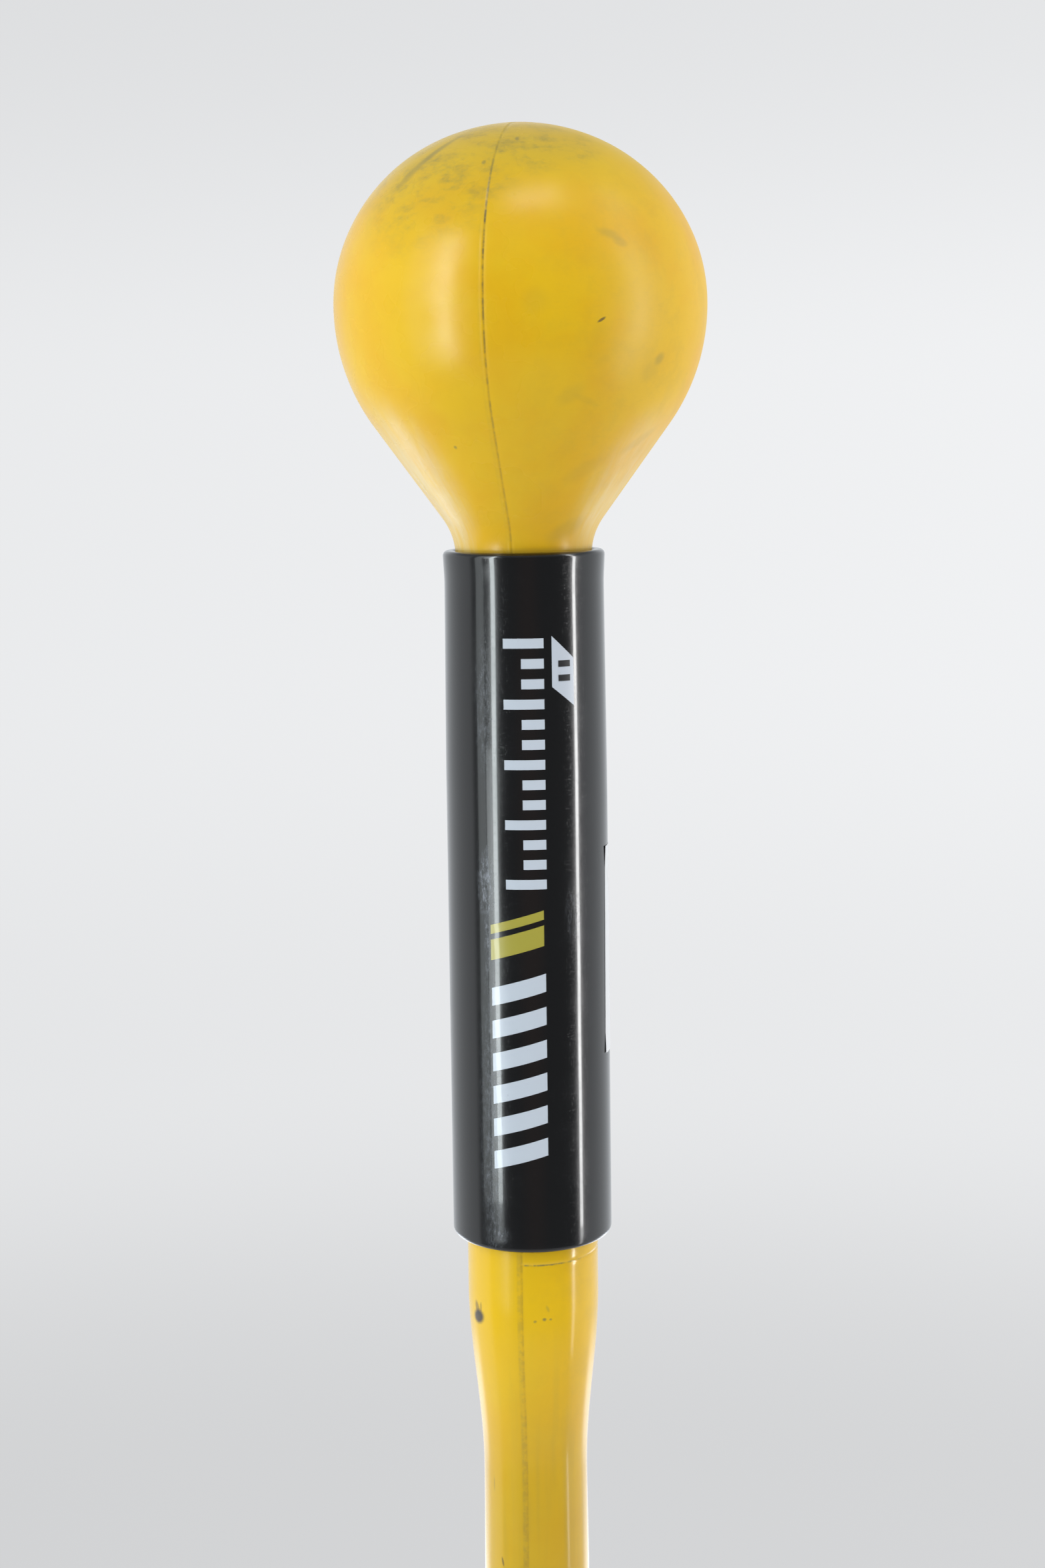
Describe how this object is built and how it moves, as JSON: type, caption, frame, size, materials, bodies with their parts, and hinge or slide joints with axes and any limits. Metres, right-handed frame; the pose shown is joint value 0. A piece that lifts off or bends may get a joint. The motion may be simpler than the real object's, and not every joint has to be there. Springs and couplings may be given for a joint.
{
  "type": "golf swing trainer",
  "caption": "Long flexible stick with a heavy ball head, a rigid sleeve round its tapered neck, a covered rod shaft and a tapered rubber grip with a capped end.",
  "frame": {"origin": "centre of the flat end face of the grip's cap", "axes": "+Z along the straight stick from the grip to the head, -Y towards the printed side of the sleeve, +X to the right of someone who faces that side"},
  "size_m": [0.076, 0.076, 1.2192],
  "materials": {
    "yellow_vinyl": "satin",
    "black_sleeve": "gloss",
    "white_label": "satin",
    "plain_steel": "satin",
    "fibreglass": "satin",
    "grip_rubber": "matte",
    "grip_tape": "matte"
  },
  "bodies": {
    "grip_end": {"grip": "grip_rubber", "grip_tape": "grip_tape", "cover_lower": "yellow_vinyl", "rod_lower": "fibreglass"},
    "head_end": {"cover_upper": "yellow_vinyl", "rod_upper": "fibreglass", "sleeve": "black_sleeve", "sleeve_label": "white_label", "weight_core": "plain_steel", "neck_tube": "plain_steel", "neck_pin_1": "plain_steel", "neck_pin_2": "plain_steel"}
  },
  "joints": [
    {"name": "shaft_flex", "type": "hinge", "parent": "grip_end", "child": "head_end", "pos_m": [0, 0, 0.40443], "axis": [0, 1, 0], "range_deg": [-20, 20], "stiffness_Nm_per_rad": 48}
  ]
}
